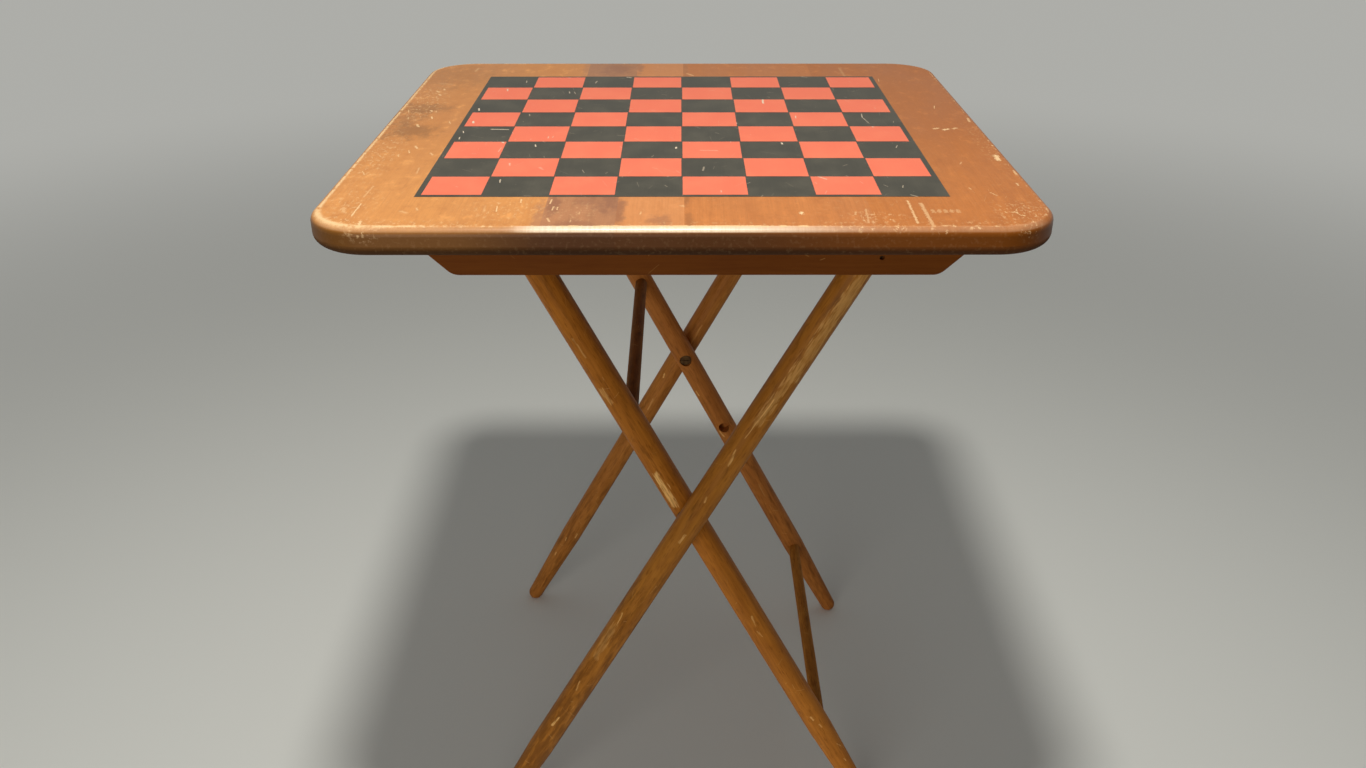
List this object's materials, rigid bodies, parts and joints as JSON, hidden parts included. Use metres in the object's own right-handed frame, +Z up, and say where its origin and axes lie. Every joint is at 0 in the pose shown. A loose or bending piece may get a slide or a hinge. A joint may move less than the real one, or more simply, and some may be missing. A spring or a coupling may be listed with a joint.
{
  "type": "folding game table",
  "caption": "Square wooden folding table with a checkered game board painted on its top, carried on crossed round legs that close like scissors while the hinged top tips up.",
  "frame": {"origin": "on the floor under the middle of the square top", "axes": "+Z up, -Y to the front of the table, +X to the side where the top is hinged to the outer legs"},
  "size_m": [0.548, 0.548, 0.6722],
  "materials": {
    "orange_wood": "aged satin varnish, scuffed",
    "heartwood": "aged satin varnish over dark heartwood",
    "pink_wood": "aged satin varnish, scuffed",
    "brown_wood": "aged satin varnish",
    "apron_wood": "aged satin varnish",
    "leg_wood": "aged satin varnish, nicked",
    "rung_wood": "aged satin varnish",
    "black_paint": "thin black paint, satin, rubbed",
    "red_paint": "thin red paint, satin, rubbed",
    "steel": "plain steel, dulled"
  },
  "bodies": {
    "outer_legs": {"front_outer_leg": "leg_wood", "rear_outer_leg": "leg_wood", "pivot_screws": "steel", "pivot_washers": "steel", "front_hinge_pin": "steel", "rear_hinge_pin": "steel"},
    "inner_legs": {"front_inner_leg": "leg_wood", "rear_inner_leg": "leg_wood", "upper_rung": "rung_wood", "lower_rung": "rung_wood"},
    "top": {"top_board_left": "orange_wood", "top_board_dark": "heartwood", "top_board_narrow": "pink_wood", "top_board_middle": "brown_wood", "top_board_right": "brown_wood", "board_black_coat": "black_paint", "board_red_coat": "red_paint", "front_apron": "apron_wood", "rear_apron": "apron_wood", "apron_screws": "steel", "stop_cleat": "apron_wood", "cleat_screws": "steel"}
  },
  "joints": [
    {"name": "top_hinge", "type": "hinge", "parent": "outer_legs", "child": "top", "pos_m": [0.1523, 0, 0.6292], "axis": [0, 1, 0], "range_deg": [0, 28]},
    {"name": "leg_fold", "type": "hinge", "parent": "outer_legs", "child": "inner_legs", "pos_m": [0.0043, 0, 0.361], "axis": [0, 1, 0], "range_deg": [0, 56]}
  ],
  "couplings": [
    {"joint": "leg_fold", "follows": "top_hinge", "ratio": 2}
  ]
}
